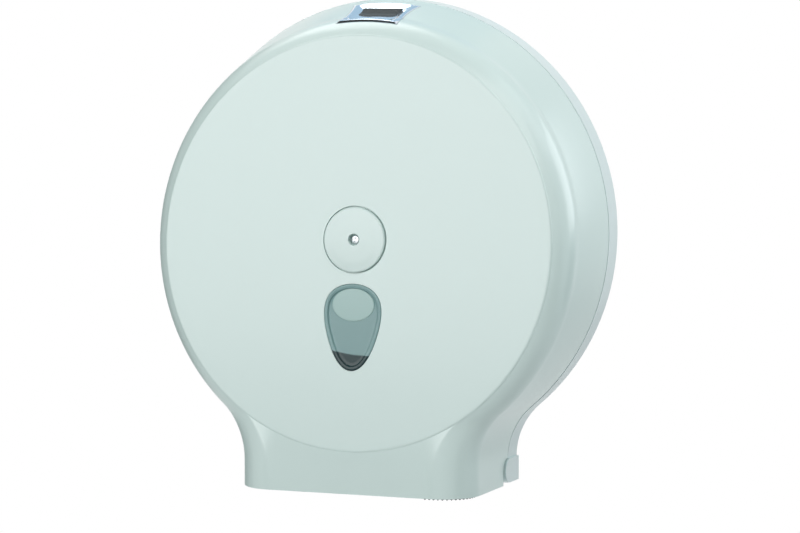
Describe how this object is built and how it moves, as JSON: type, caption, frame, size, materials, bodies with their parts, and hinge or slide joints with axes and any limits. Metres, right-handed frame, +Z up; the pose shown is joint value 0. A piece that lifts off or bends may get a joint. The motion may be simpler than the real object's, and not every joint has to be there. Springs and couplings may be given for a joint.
{
  "type": "jumbo toilet roll dispenser",
  "caption": "Round wall-hung jumbo toilet roll dispenser: hinged moulded cover with short neck, egg-shaped smoked window, centre cap, chrome thumb latch, turning core hub and toothed tear edge.",
  "frame": {"origin": "On the wall plane, on the axis of the roll spindle, at the centre of the four wall screws.", "axes": "X to the viewer's right, the wall is on the +Y side and the front looks along -Y, Z up."},
  "size_m": [0.323, 0.1016, 0.3414],
  "materials": {
    "cover_plastic": "smooth pale ABS with a soft gloss",
    "plate_plastic": "smooth pale ABS",
    "inner_plastic": "plain moulded ABS",
    "smoked_plastic": "clear smoked SAN, lightly frosted behind",
    "bright_chrome": "bright chrome plating",
    "dark_plastic": "charcoal moulded plastic",
    "nylon": "natural nylon",
    "zinc_steel": "zinc plated steel"
  },
  "bodies": {
    "wall_unit": {"back_plate": "plate_plastic", "striker": "zinc_steel", "striker_screws": "zinc_steel", "hinge_pins": "zinc_steel", "spindle_post": "inner_plastic", "spindle_screws": "zinc_steel", "spindle_clip": "zinc_steel", "hub_washer": "nylon"},
    "cover": {"cover_shell": "cover_plastic", "window": "smoked_plastic", "window_retainer": "inner_plastic", "retainer_screws": "zinc_steel", "centre_cap": "cover_plastic", "cap_screw": "zinc_steel", "roll_guide": "inner_plastic", "latch_bezel": "bright_chrome", "latch_housing": "dark_plastic", "latch_screws": "zinc_steel", "latch_spring": "zinc_steel", "tear_comb": "dark_plastic", "comb_screws": "zinc_steel"},
    "latch": {"latch_button": "dark_plastic"},
    "hub": {"roll_hub": "inner_plastic", "core_sleeve": "inner_plastic"}
  },
  "joints": [
    {"name": "cover_hinge", "type": "hinge", "parent": "wall_unit", "child": "cover", "pos_m": [0, -0.0185, -0.1655], "axis": [1, 0, 0], "range_deg": [0, 85]},
    {"name": "latch_slide", "type": "slide", "parent": "cover", "child": "latch", "axis": [0, 0, -1], "range_m": [0, 0.0045], "stiffness_N_per_m": 300, "springref_m": -0.003, "deforming": ["latch_spring"]},
    {"name": "hub_spin", "type": "hinge", "parent": "wall_unit", "child": "hub", "pos_m": [0, -0.04, 0], "axis": [0, -1, 0], "continuous": true}
  ]
}
